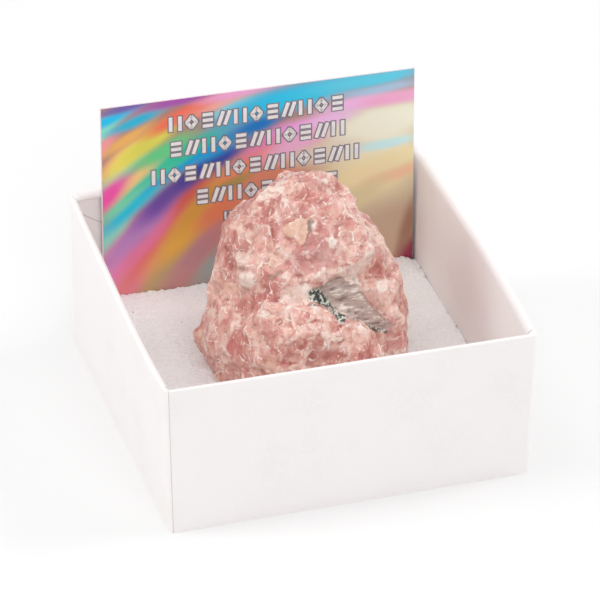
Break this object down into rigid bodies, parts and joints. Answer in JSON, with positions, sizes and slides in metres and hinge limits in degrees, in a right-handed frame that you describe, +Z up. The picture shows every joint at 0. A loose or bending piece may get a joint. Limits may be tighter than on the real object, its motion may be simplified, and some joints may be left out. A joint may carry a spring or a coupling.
{
  "type": "rhodochrosite mineral specimen in a card tray",
  "caption": "Rough pink rhodochrosite specimen resting on a foam pad in an open square card tray, with an upright rainbow label card behind it.",
  "frame": {"origin": "middle of the tray's underside", "axes": "+Z up, +Y towards the label card, +X to the right seen from the front"},
  "size_m": [0.0624, 0.0621, 0.0446],
  "materials": {
    "tray_board": "matt white paper-faced board",
    "pad_foam": "fine-celled white foam, matt with tiny sparkles",
    "label_print": "glossy rainbow foil print on white card",
    "rhodochrosite": "broken pink mineral with white veins, part glassy"
  },
  "bodies": {
    "root": {"tray": "tray_board", "foam_pad": "pad_foam", "label_card": "label_print", "rhodochrosite": "rhodochrosite"}
  },
  "joints": []
}
